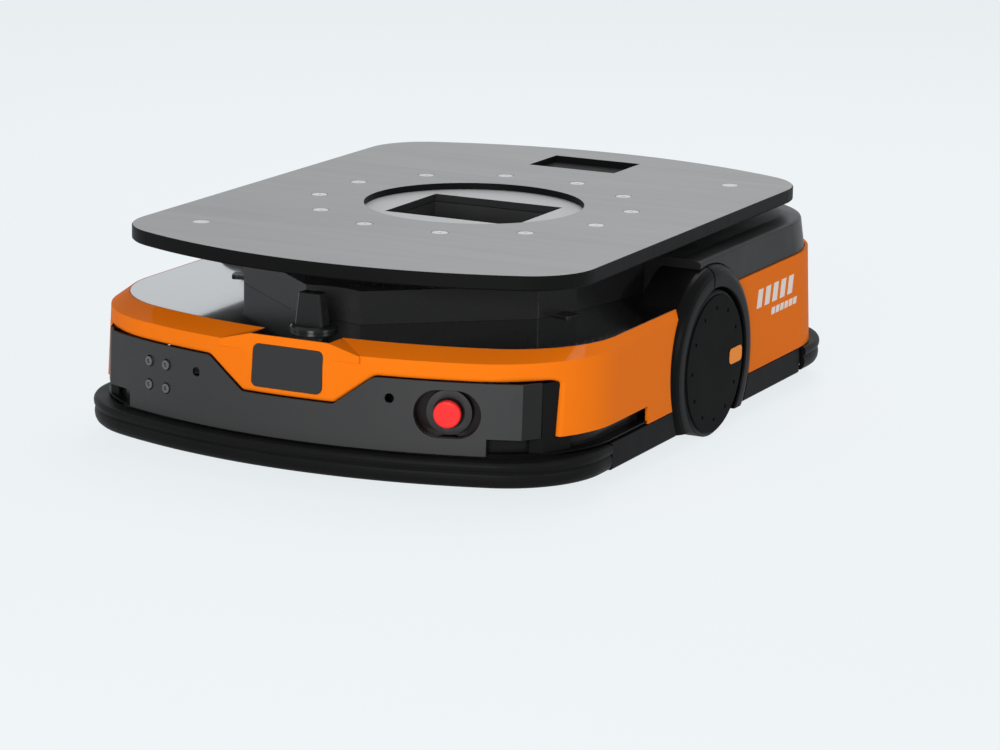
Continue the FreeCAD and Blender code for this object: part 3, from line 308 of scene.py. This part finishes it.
looks = {
    # painted shells and moulded covers
    "orange_shell": {
        "dark": (0.83, 0.170, 0.004), "light": (0.89, 0.190, 0.006), "rough": (0.34, 0.46),
        "grain": 500.0, "bump": 0.02, "soften": 0.0012, "specular": 0.0, "coat": 0.10,
        "coatRough": 0.06, "worn": (0.92, 0.30, 0.05), "wear": 0.4, "dust": 0.02},
    "black_cover": {
        "dark": (0.015, 0.015, 0.0153), "light": (0.019, 0.019, 0.0193), "rough": (0.24, 0.32),
        "grain": 300.0, "bump": 0.01, "soften": 0.001, "specular": 0.10, "dust": 0.03,
        "dustScale": 60.0},
    "dark_cover": {
        "dark": (0.007, 0.007, 0.0072), "light": (0.011, 0.011, 0.0112), "rough": (0.30, 0.42),
        "grain": 1100.0, "bump": 0.08, "soften": 0.0014, "specular": 0.10, "dust": 0.04,
        "worn": (0.05, 0.05, 0.05), "wear": 0.5},
    "arch_black": {
        "dark": (0.003, 0.003, 0.0031), "light": (0.006, 0.006, 0.0062), "rough": (0.26, 0.36),
        "grain": 1100.0, "bump": 0.06, "soften": 0.0014, "specular": 0.035, "dust": 0.03,
        "worn": (0.03, 0.03, 0.03), "wear": 0.5},
    "panel_grey": {
        "dark": (0.034, 0.034, 0.0345), "light": (0.041, 0.041, 0.0415), "rough": (0.42, 0.52),
        # the sideways end colour is painted shade on the panel's end facets, which turn away from the light
        "ends": (0.009, 0.009, 0.0091), "endsTurn": (0.40, 0.44), "grain": 1300.0, "bump": 0.10,
        "soften": 0.0010, "specular": 0.16, "dust": 0.05, "worn": (0.09, 0.09, 0.09), "wear": 0.6},
    "window_grey": {
        "dark": (0.018, 0.018, 0.0185), "light": (0.022, 0.022, 0.0225), "rough": (0.08, 0.14),
        "grain": 400.0, "bump": 0.01, "soften": 0.0006, "specular": 0.32, "dust": 0.03},
    "scanner_glass": {
        "dark": (0.008, 0.007, 0.0075), "light": (0.012, 0.011, 0.0115), "rough": (0.16, 0.24),
        "grain": 400.0, "bump": 0.01, "soften": 0.0006, "specular": 0.08, "dust": 0.03},
    # rubber, skirts and wheels
    "bumper_rubber": {
        "dark": (0.005, 0.005, 0.0051), "light": (0.008, 0.008, 0.0081), "rough": (0.40, 0.52),
        "grain": 700.0, "bump": 0.15, "soften": 0.0008, "specular": 0.05, "dust": 0.06,
        "worn": (0.035, 0.035, 0.034), "wear": 0.6},
    "skirt_black": {
        "dark": (0.006, 0.006, 0.0062), "light": (0.009, 0.009, 0.0092), "rough": (0.34, 0.46),
        "grain": 1000.0, "bump": 0.08, "soften": 0.0012, "specular": 0.02, "dust": 0.04,
        "worn": (0.035, 0.035, 0.035), "wear": 0.5},
    "wheel_black": {
        "dark": (0.0035, 0.0035, 0.0036), "light": (0.0055, 0.0055, 0.0056), "rough": (0.34, 0.44),
        "grain": 900.0, "bump": 0.06, "soften": 0.0010, "specular": 0.01, "dust": 0.02,
        "worn": (0.03, 0.03, 0.03), "wear": 0.5},
    "tyre_black": {
        "dark": (0.004, 0.004, 0.004), "light": (0.008, 0.008, 0.008), "rough": (0.52, 0.68),
        "grain": 600.0, "bump": 0.22, "soften": 0.0010, "specular": 0.15, "dust": 0.16,
        "worn": (0.04, 0.039, 0.037), "wear": 0.8},
    # metals; the plate and flange are machined on top and dark on their walls
    "plate_metal": {
        "dark": (0.30, 0.30, 0.30), "light": (0.33, 0.33, 0.33), "streak": (0.36, 0.36, 0.36),
        "walls": (0.008, 0.008, 0.0082), "topFrom": 0.2485, "rough": (0.40, 0.56), "brush": 55.0,
        "along": 0.05, "bump": 0.05, "bumpDepth": 0.0002, "metal": 0.30, "soften": 0.0006,
        "specular": 0.02},
    "flange_metal": {
        "dark": (0.42, 0.42, 0.42), "light": (0.47, 0.47, 0.47), "walls": (0.030, 0.030, 0.0305),
        "topFrom": 0.2412, "rough": (0.36, 0.48), "brush": 70.0, "along": 0.08, "bump": 0.05,
        "bumpDepth": 0.0002, "metal": 0.30, "soften": 0.0006, "specular": 0.15},
    "screw_metal": {
        "dark": (0.52, 0.52, 0.52), "light": (0.62, 0.62, 0.62), "rough": (0.30, 0.42),
        "grain": 900.0, "bump": 0.05, "metal": 0.4, "soften": 0.0003},
    # frame_metal's dark base colour is painted shade: the lift frame shows only in shadow through the
    # opening, so its metal is darkened to that shade
    "frame_metal": {
        "dark": (0.030, 0.030, 0.0305), "light": (0.042, 0.042, 0.0425), "rough": (0.36, 0.50),
        "grain": 700.0, "bump": 0.08, "metal": 0.2, "soften": 0.0008, "specular": 0.25,
        "dust": 0.04, "worn": (0.20, 0.20, 0.20), "wear": 0.6},
    "steel": {
        "dark": (0.36, 0.36, 0.37), "light": (0.46, 0.46, 0.47), "rough": (0.24, 0.40),
        "brush": 80.0, "along": 6.0, "bump": 0.08, "bumpDepth": 0.0002, "metal": 1.0,
        "soften": 0.0006, "dust": 0.06},
    "dark_steel": {
        "dark": (0.020, 0.020, 0.021), "light": (0.035, 0.035, 0.036), "rough": (0.30, 0.44),
        "grain": 800.0, "bump": 0.06, "metal": 0.6, "soften": 0.0006, "worn": (0.20, 0.20, 0.20),
        "wear": 0.6},
    "black_steel": {
        "dark": (0.005, 0.005, 0.0051), "light": (0.008, 0.008, 0.0081), "rough": (0.38, 0.52),
        "grain": 800.0, "bump": 0.12, "soften": 0.0010, "specular": 0.18, "dust": 0.08,
        "worn": (0.06, 0.06, 0.06), "wear": 0.7},
    "contact_metal": {
        "dark": (0.11, 0.11, 0.11), "light": (0.16, 0.16, 0.16), "rough": (0.28, 0.40),
        "grain": 900.0, "bump": 0.06, "metal": 0.7, "soften": 0.0004},
    # small parts
    "button_red": {
        "dark": (0.93, 0.024, 0.024), "light": (0.98, 0.034, 0.034), "rough": (0.24, 0.34),
        "grain": 900.0, "bump": 0.03, "soften": 0.0008, "specular": 0.15, "coat": 0.08},
    # the cup's reddish tint is a painted reflection of the red stop button
    "cup_black": {
        "dark": (0.006, 0.003, 0.003), "light": (0.009, 0.0045, 0.0045), "rough": (0.24, 0.32),
        "grain": 900.0, "bump": 0.03, "soften": 0.0006, "specular": 0.18},
    "marker_orange": {
        "dark": (0.90, 0.25, 0.03), "light": (0.95, 0.30, 0.045), "rough": (0.40, 0.50),
        "grain": 900.0, "bump": 0.03, "soften": 0.0004, "specular": 0.05},
    "device_black": {
        "dark": (0.008, 0.008, 0.0085), "light": (0.012, 0.012, 0.0125), "rough": (0.38, 0.50),
        "grain": 1000.0, "bump": 0.12, "soften": 0.0010, "specular": 0.25, "dust": 0.12,
        "worn": (0.05, 0.05, 0.05), "wear": 0.7},
    "tower_black": {
        "dark": (0.007, 0.007, 0.0072), "light": (0.010, 0.010, 0.0102), "rough": (0.20, 0.30),
        "grain": 500.0, "bump": 0.02, "soften": 0.0008, "specular": 0.22, "dust": 0.03},
    "deck_gloss": {
        "dark": (0.003, 0.003, 0.0031), "light": (0.004, 0.004, 0.0041), "rough": (0.07, 0.13),
        "grain": 300.0, "bump": 0.006, "soften": 0.001, "ior": 2.2, "coat": 1.0, "coatRough": 0.05},
    "bar_paint": {
        "dark": (0.80, 0.74, 0.68), "light": (0.86, 0.80, 0.74), "rough": (0.40, 0.50),
        "grain": 700.0, "bump": 0.02, "specular": 0.10},
    "lens_glass": {
        "dark": (0.004, 0.003, 0.007), "light": (0.008, 0.006, 0.014), "rough": (0.03, 0.06),
        "grain": 300.0, "bump": 0.004, "coat": 1.0, "coatRough": 0.02},
}
materials = {name: finish(name, look) for name, look in looks.items()}

nodeFinish = {  # nodes whose finish differs from their slot's plain one
    "front_deck": "deck_gloss",
    "turntable_flange": "flange_metal",
    "locating_studs": "screw_metal",
    "sensor_tower": "tower_black",
    "estop_collar": "cup_black",
    "scanner_windows": "scanner_glass",
    "front_bumper_bar": "dark_steel",
    "rear_bumper_bar": "dark_steel",
    "bumper_guides": "dark_steel",
    "front_side_skirt_left": "skirt_black",
    "front_side_skirt_right": "skirt_black",
    "rear_side_skirt_left": "skirt_black",
    "rear_side_skirt_right": "skirt_black",
}
for entry in frame["record"]["subparts"]:
    node = nodes[entry["node"]]
    node.data.materials.clear()
    node.data.materials.append(materials[nodeFinish.get(entry["node"], entry["material_slot"])])
print("finishes on", len(nodes), "nodes")


# Modelling helpers: pick in edit mode, cut, round, join, copy and hand over a finished piece

def deselectAll():
    for obj in list(bpy.context.selected_objects):
        obj.select_set(False)


def makeActive(obj):
    deselectAll()
    obj.select_set(True)
    bpy.context.view_layer.objects.active = obj


def nameOf(obj, name):
    obj.name = name
    obj.data.name = name
    return obj


def editMode():
    bpy.ops.object.mode_set(mode="EDIT")


def objectMode():
    bpy.ops.object.mode_set(mode="OBJECT")


def pickFaces(obj, test):
    bpy.ops.mesh.select_mode(type="FACE")
    bpy.ops.mesh.select_all(action="DESELECT")
    mesh = bmesh.from_edit_mesh(obj.data)
    for face in mesh.faces:
        face.select_set(test(face.calc_center_median(), face.normal))
    bmesh.update_edit_mesh(obj.data)


def looksDown(normal):
    return normal.z < -0.9


def pickEdges(obj, test):
    bpy.ops.mesh.select_mode(type="EDGE")
    bpy.ops.mesh.select_all(action="DESELECT")
    mesh = bmesh.from_edit_mesh(obj.data)
    for edge in mesh.edges:
        edge.select_set(all(test(vertex.co) for vertex in edge.verts))
    bmesh.update_edit_mesh(obj.data)


def faceOutward(obj):
    makeActive(obj)
    editMode()
    bpy.ops.mesh.select_all(action="SELECT")
    bpy.ops.mesh.normals_make_consistent(inside=False)
    objectMode()


def addCylinder(radius, depth, place, sides=48):
    deselectAll()
    bpy.ops.mesh.primitive_cylinder_add(vertices=sides, radius=radius, depth=depth, location=place)
    return bpy.context.object


def applyModifier(obj, kind, **settings):
    makeActive(obj)
    modifier = obj.modifiers.new(kind.lower(), kind)
    for key, value in settings.items():
        setattr(modifier, key, value)
    bpy.ops.object.modifier_apply(modifier=modifier.name)


def cutWith(obj, tool):
    applyModifier(obj, "BOOLEAN", object=tool, operation="DIFFERENCE", solver="EXACT")
    bpy.data.objects.remove(tool, do_unlink=True)


def roundEdges(obj, width, segments=2, angle=35):
    applyModifier(obj, "BEVEL", width=width, segments=segments, limit_method="ANGLE",
                  angle_limit=math.radians(angle))


def settle(obj):
    # object at the origin, its place kept in its mesh
    makeActive(obj)
    bpy.ops.object.transform_apply(location=True, rotation=True, scale=True)


def joinAll(pieces):
    deselectAll()
    for piece in pieces:
        piece.select_set(True)
    bpy.context.view_layer.objects.active = pieces[0]
    if len(pieces) > 1:
        bpy.ops.object.join()
    return bpy.context.object


def copyTo(obj, matrices):
    # one copy for each matrix, all joined to a single object; the model itself goes
    copies = []
    for matrix in matrices:
        twin = obj.copy()
        twin.data = obj.data.copy()
        bpy.context.scene.collection.objects.link(twin)
        twin.data.transform(matrix)
        if matrix.determinant() < 0:
            twin.data.flip_normals()
        copies.append(twin)
    bpy.data.objects.remove(obj, do_unlink=True)
    return joinAll(copies)


def fourCorners():
    # mirrors a shape from the rear right to all four corners
    return [Matrix.Diagonal((side, end, 1, 1)) for side in (1, -1) for end in (1, -1)]


def handOver(obj, name, body, slot, finishName=None):
    smoothAngle = 30
    settle(obj)
    makeActive(obj)
    bpy.ops.object.shade_smooth_by_angle(angle=math.radians(smoothAngle))
    nameOf(obj, name)
    obj.data.materials.clear()
    obj.data.materials.append(materials[finishName or slot])
    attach(obj, body)
    return obj


def cutSocket(head, radius, depth, top):
    # hexagon socket sunk from the top of a screw head
    hexagonSides = 6
    cutWith(head, addCylinder(radius, 2 * depth, (0, 0, top), hexagonSides))


def makePlateScrews():
    screw = {"count": 12, "circle": 0.1935, "firstAngle": 15.0, "headRadius": 0.0099, "headDepth": 0.0056,
             "shankRadius": 0.0042, "top": 0.2499, "shankEnd": 0.2345, "rim": 0.0004,
             "socketRadius": 0.0026, "socketDepth": 0.0022}
    middle = screw["top"] - screw["headDepth"] / 2
    head = addCylinder(screw["headRadius"], screw["headDepth"], (0, 0, middle))
    bpy.ops.object.transform_apply(location=True)
    editMode()
    pickFaces(head, lambda centre, normal: looksDown(normal))
    narrow = screw["shankRadius"] / screw["headRadius"]
    bpy.ops.transform.resize(value=(narrow, narrow, 1))
    drop = screw["shankEnd"] - (screw["top"] - screw["headDepth"])
    bpy.ops.mesh.extrude_region_move(TRANSFORM_OT_translate={"value": (0, 0, drop)})
    objectMode()
    cutSocket(head, screw["socketRadius"], screw["socketDepth"], screw["top"])
    roundEdges(head, screw["rim"], 1)
    turns = [Matrix.Rotation(math.radians(screw["firstAngle"] + 360 / screw["count"] * index), 4, "Z")
             @ Matrix.Translation((screw["circle"], 0, 0)) for index in range(screw["count"])]
    screws = handOver(copyTo(head, turns), "plateScrews", "turntable", "frame_metal", "screw_metal")
    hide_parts("plate_screws")


def panelFace(x, z):
    # point and outward direction of the front panel over an opening at x, z
    reach = {"side": 0.055, "up": 0.033, "bow": 0.0024}
    tree = BVHTree.FromObject(nodes["front_panel"], bpy.context.evaluated_depsgraph_get())
    steps = ((-reach["side"], 0), (reach["side"], 0), (0, reach["up"]))
    left, right, above = [tree.ray_cast(Vector((x + dx, -1, z + dz)), Vector((0, 1, 0)))[0]
                          for dx, dz in steps]
    middle = (left + right) / 2
    outward = (right - left).cross(above - middle).normalized()
    return middle + outward * reach["bow"], outward


def makeStopRing():
    # flat ring in the cup round the stop button, square to the bowed panel
    ring = {"x": 0.188, "z": 0.1005, "inner": 0.0172, "outer": 0.0262, "thickness": 0.0022,
            "setBack": 0.0094, "edge": 0.0007, "sides": 64}
    face, outward = panelFace(ring["x"], ring["z"])
    disc = addCylinder(ring["outer"], ring["thickness"], (0, 0, 0), ring["sides"])
    cutWith(disc, addCylinder(ring["inner"], 4 * ring["thickness"], (0, 0, 0), ring["sides"]))
    roundEdges(disc, ring["edge"])
    turn = outward.to_track_quat("Z", "Y").to_matrix().to_4x4()
    seat = face - outward * (ring["setBack"] + ring["thickness"] / 2)
    handOver(copyTo(disc, [Matrix.Translation(seat) @ turn]), "stopRing", "chassis", "panel_grey")


def makeSideBars():
    # two rows of slanted bars painted on the rear shell, one group on each side
    bars = {"high": {"first": 0.150, "pitch": 0.0245, "count": 5, "middle": 0.139, "width": 0.0150,
                     "height": 0.0225},
            "low": {"first": 0.192, "pitch": 0.0140, "count": 6, "middle": 0.1165, "width": 0.0105,
                    "height": 0.0085},
            "lean": 0.0070 / 0.0225,  # sideways over upward
            "cuts": 3, "proud": 0.0002, "thickness": 0.0004}
    shell = BVHTree.FromObject(nodes["rear_body_shell"], bpy.context.evaluated_depsgraph_get())
    for side, label in ((1, "right"), (-1, "left")):
        marks = []
        for row in (bars["high"], bars["low"]):
            for index in range(row["count"]):
                deselectAll()
                bpy.ops.mesh.primitive_plane_add(size=1, location=(0, 0, 0))
                mark = bpy.context.object
                editMode()
                bpy.ops.mesh.subdivide(number_cuts=bars["cuts"])
                objectMode()
                for vertex in mark.data.vertices:  # laid on the shell's curved side
                    upward = vertex.co.y * row["height"]
                    y = (row["first"] + row["pitch"] * index + vertex.co.x * row["width"]
                         + bars["lean"] * upward)
                    z = row["middle"] + upward
                    spot = shell.ray_cast(Vector((side, y, z)), Vector((-side, 0, 0)))[0]
                    vertex.co = (spot.x + side * bars["proud"], y, z)
                if side < 0:
                    mark.data.flip_normals()
                applyModifier(mark, "SOLIDIFY", thickness=bars["thickness"], offset=-1)
                marks.append(mark)
        handOver(joinAll(marks), "sideBars_" + label, "chassis", "orange_shell", "bar_paint")


def makeLens():
    lens = {"radius": 0.0125, "crown": 0.0035, "seat": 0.0702, "proud": 0.0006, "segments": 40, "rings": 20,
            "ringOuter": 0.0149, "ringHeight": 0.0030, "ringGap": 0.0002, "ringEdge": 0.0004}
    deselectAll()
    bpy.ops.mesh.primitive_uv_sphere_add(segments=lens["segments"], ring_count=lens["rings"],
                                         radius=lens["radius"])
    dome = bpy.context.object
    editMode()
    bpy.ops.mesh.select_all(action="SELECT")
    bpy.ops.mesh.bisect(plane_co=(0, 0, 0), plane_no=(0, 0, 1), use_fill=True, clear_inner=True)
    bpy.ops.mesh.select_all(action="SELECT")
    bpy.ops.transform.resize(value=(1, 1, lens["crown"] / lens["radius"]), center_override=(0, 0, 0))
    bpy.ops.transform.translate(value=(0, 0, lens["seat"] + lens["proud"]))
    objectMode()
    handOver(dome, "upwardLens", "chassis", "window_grey", "lens_glass")
    middle = lens["seat"] + lens["ringHeight"] / 2
    ring = addCylinder(lens["ringOuter"], lens["ringHeight"], (0, 0, middle), lens["segments"])
    bore = lens["radius"] + lens["ringGap"]
    cutWith(ring, addCylinder(bore, 3 * lens["ringHeight"], (0, 0, lens["seat"]), lens["segments"]))
    roundEdges(ring, lens["ringEdge"])
    handOver(ring, "lensRing", "chassis", "device_black")


def makeBolt(size):
    # cap screw standing on z = 0, its hexagon socket upward
    bolt = addCylinder(size["head"], size["height"], (0, 0, size["height"] / 2), size["sides"])
    bpy.ops.object.transform_apply(location=True)
    cutSocket(bolt, size["socket"], size["height"] / 2, size["height"])
    roundEdges(bolt, size["edge"], 1)
    return bolt


def makeBaseBolts():
    # heads under the base plate: two rows between the wheels, two pairs at each end
    bolt = {"head": 0.0065, "height": 0.0045, "socket": 0.0033, "edge": 0.0006, "sides": 28,
            "middleX": (-0.225, -0.075, 0.075, 0.225), "middleY": (-0.140, 0.140),
            "endX": (-0.100, 0.100), "endY": (-0.390, -0.290, 0.290, 0.390)}
    under = Matrix.Translation((0, 0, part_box("base_plate")[0][2])) @ Matrix.Rotation(math.pi, 4, "X")
    spots = [(x, y) for x in bolt["middleX"] for y in bolt["middleY"]]
    spots += [(x, y) for x in bolt["endX"] for y in bolt["endY"]]
    heads = copyTo(makeBolt(bolt), [Matrix.Translation((x, y, 0)) @ under for x, y in spots])
    handOver(heads, "baseBolts", "chassis", "steel")


def makeTowerBolts():
    bolt = {"head": 0.0042, "height": 0.0030, "socket": 0.0020, "edge": 0.0004, "sides": 28,
            "towerX": (-0.195, 0.195), "towerY": (-0.315, 0.315), "circle": 0.026,
            "angles": (45, 135, 225, 315)}
    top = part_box("caster_towers")[1][2]
    seats = [Matrix.Translation((x + bolt["circle"] * math.cos(math.radians(angle)),
                                 y + bolt["circle"] * math.sin(math.radians(angle)), top))
             for x in bolt["towerX"] for y in bolt["towerY"] for angle in bolt["angles"]]
    handOver(copyTo(makeBolt(bolt), seats), "towerBolts", "chassis", "steel")


def makeEndSeals():
    # rubber strips that close the slots beside the end panels
    seal = {"start": (0.266, 0.3830), "knee": (0.280, 0.3770), "end": (0.296, 0.3420), "thick": 0.0025,
            "low": 0.0545, "high": 0.1360}
    deselectAll()
    bpy.ops.mesh.primitive_plane_add(size=1, location=(0, 0, 0))
    strip = bpy.context.object
    corners = [(*place, height) for height in (seal["low"], seal["high"])
               for place in (seal["start"], seal["knee"])]
    for vertex, corner in zip(strip.data.vertices, corners):
        vertex.co = corner
    editMode()
    pickEdges(strip, lambda point: point.x > (seal["start"][0] + seal["knee"][0]) / 2)
    step = (seal["end"][0] - seal["knee"][0], seal["end"][1] - seal["knee"][1], 0)
    bpy.ops.mesh.extrude_region_move(TRANSFORM_OT_translate={"value": step})
    objectMode()
    faceOutward(strip)
    applyModifier(strip, "SOLIDIFY", thickness=seal["thick"], offset=0)
    four = copyTo(strip, fourCorners())
    faceOutward(four)
    handOver(four, "endSeals", "chassis", "bumper_rubber")


def makeSeamBackings():
    # black blocks behind the seams between skirts and bumpers
    block = {"inner": 0.2990, "outer": 0.3050, "near": 0.2400, "skirtEnd": 0.2792, "far": 0.3220,
             "low": 0.0215, "shelf": 0.0285, "high": 0.0470, "edge": 0.0006}
    spans = [[block[edge] for edge in pair]
             for pair in (("inner", "outer"), ("near", "far"), ("shelf", "high"))]
    deselectAll()
    bpy.ops.mesh.primitive_cube_add(size=1, location=[(low + high) / 2 for low, high in spans],
                                    scale=[high - low for low, high in spans])
    backing = bpy.context.object
    settle(backing)
    editMode()
    bpy.ops.mesh.select_all(action="SELECT")
    bpy.ops.mesh.bisect(plane_co=(0, block["skirtEnd"], 0), plane_no=(0, 1, 0))
    pickFaces(backing, lambda centre, normal: looksDown(normal) and centre.y > block["skirtEnd"])
    drop = block["low"] - block["shelf"]
    bpy.ops.mesh.extrude_region_move(TRANSFORM_OT_translate={"value": (0, 0, drop)})
    objectMode()
    roundEdges(backing, block["edge"], 1)
    handOver(copyTo(backing, fourCorners()), "seamBackings", "chassis", "bumper_rubber")


makePlateScrews()
makeStopRing()
makeSideBars()
print("screws, stop ring and side bars fitted")
makeLens()
makeBaseBolts()
makeTowerBolts()
print("lens and bolts fitted")
makeEndSeals()
makeSeamBackings()
print("seals and seam backings fitted")


# Floor, light and camera

paleGround = (0.887, 0.930, 0.956)


def pathMask(tree):
    # rays that see the ground directly, in a mirror finish or through glass
    rays = addNode(tree, "ShaderNodeLightPath", (-700, 500)).outputs
    direct = mathNode(tree, "ADD", (-450, 500), rays["Is Camera Ray"], rays["Is Glossy Ray"])
    return mathNode(tree, "ADD", (-250, 500), direct, rays["Is Transmission Ray"], clamp=True)


def makeFloor():
    # mostly shown at its own colour, and for the rest lit by the lamps, which leaves the shadow
    ground = {"radius": 9.0, "place": (0.2, -0.3, -0.0004), "sides": 96, "shown": 0.86, "cloud": 2.0,
              "cloudTone": 0.995, "rough": 0.9}
    deselectAll()
    bpy.ops.mesh.primitive_circle_add(vertices=ground["sides"], radius=ground["radius"], fill_type="NGON",
                                      location=ground["place"])
    floor = nameOf(bpy.context.object, "floor")
    material = bpy.data.materials.new("floor")
    material.use_nodes = True
    tree = material.node_tree
    shader = tree.nodes["Principled BSDF"]
    cloud = noiseNode(tree, (-500, 200), objectPoint(tree), ground["cloud"])
    colour = mixColour(tree, (-300, 200), cloud, paleGround,
                       tuple(part * ground["cloudTone"] for part in paleGround))
    tree.links.new(colour, shader.inputs["Base Color"])
    shader.inputs["Roughness"].default_value = ground["rough"]
    shader.inputs["Specular IOR Level"].default_value = 0.0
    glow = addNode(tree, "ShaderNodeEmission", (0, -200))
    tree.links.new(colour, glow.inputs["Color"])
    share = mathNode(tree, "MULTIPLY", (0, 300), pathMask(tree), ground["shown"])
    blend = addNode(tree, "ShaderNodeMixShader", (250, 0))
    for value, socket in zip((share, shader.outputs[0], glow.outputs[0]), blend.inputs):
        tree.links.new(value, socket)
    tree.links.new(blend.outputs[0], tree.nodes["Material Output"].inputs["Surface"])
    floor.data.materials.append(material)


def makeLight(name, place, target, size, power):
    data = bpy.data.lights.new(name, "AREA")
    data.shape = "RECTANGLE"
    data.size, data.size_y = size
    data.energy = power
    light = bpy.data.objects.new(name, data)
    bpy.context.scene.collection.objects.link(light)
    light.location = place
    light.rotation_mode = "QUATERNION"
    light.rotation_quaternion = (Vector(target) - Vector(place)).to_track_quat("-Z", "Y")


def makeLighting():
    # each lamp: place, what it faces, its two sides and its power; the fill is the world's own light
    lamps = {"key": ((0.85, -3.9, 1.05), (0.0, -0.2, 0.1), (1.4, 1.0), 90),
             "left": ((-2.9, -2.2, 1.2), (-0.2, -0.2, 0.1), (1.2, 0.8), 6),
             "right": ((3.8, -0.6, 1.0), (0.2, 0.0, 0.1), (1.2, 0.8), 24),
             "top": ((-0.2, 1.8, 2.9), (0.0, 0.0, 0.2), (2.0, 1.6), 42)}
    fill = (0.30, 0.305, 0.31)
    world = bpy.data.worlds.new("studio")
    bpy.context.scene.world = world
    world.use_nodes = True
    tree = world.node_tree
    colour = mixColour(tree, (-300, 200), pathMask(tree), fill, paleGround)
    tree.links.new(colour, tree.nodes["Background"].inputs["Color"])
    for name, lamp in lamps.items():
        makeLight(name, *lamp)


def makeCamera():
    view = {"azimuth": 26.265, "elevation": 13.267, "roll": 1.061, "distance": 4.21384,
            "target": (0.19921, -0.32383, 0.125), "lens": 135.0, "sensor": 36.0, "clip": (0.1, 50)}
    azimuth, elevation, roll = (math.radians(view[key]) for key in ("azimuth", "elevation", "roll"))
    back = Vector((math.sin(azimuth) * math.cos(elevation), -math.cos(azimuth) * math.cos(elevation),
                   math.sin(elevation)))
    right = Vector((math.cos(azimuth), math.sin(azimuth), 0))
    up = back.cross(right)
    turnedRight = right * math.cos(roll) + up * math.sin(roll)
    turnedUp = up * math.cos(roll) - right * math.sin(roll)
    data = bpy.data.cameras.new("camera")
    data.lens = view["lens"]
    data.sensor_width = view["sensor"]
    data.clip_start, data.clip_end = view["clip"]
    camera = bpy.data.objects.new("camera", data)
    bpy.context.scene.collection.objects.link(camera)
    camera.rotation_mode = "QUATERNION"
    camera.rotation_quaternion = Matrix((turnedRight, turnedUp, back)).transposed().to_quaternion()
    camera.location = Vector(view["target"]) + back * view["distance"]
    bpy.context.scene.camera = camera


makeFloor()
makeLighting()
makeCamera()
bpy.context.scene.view_settings.view_transform = "Standard"
print("floor, light and camera ready")
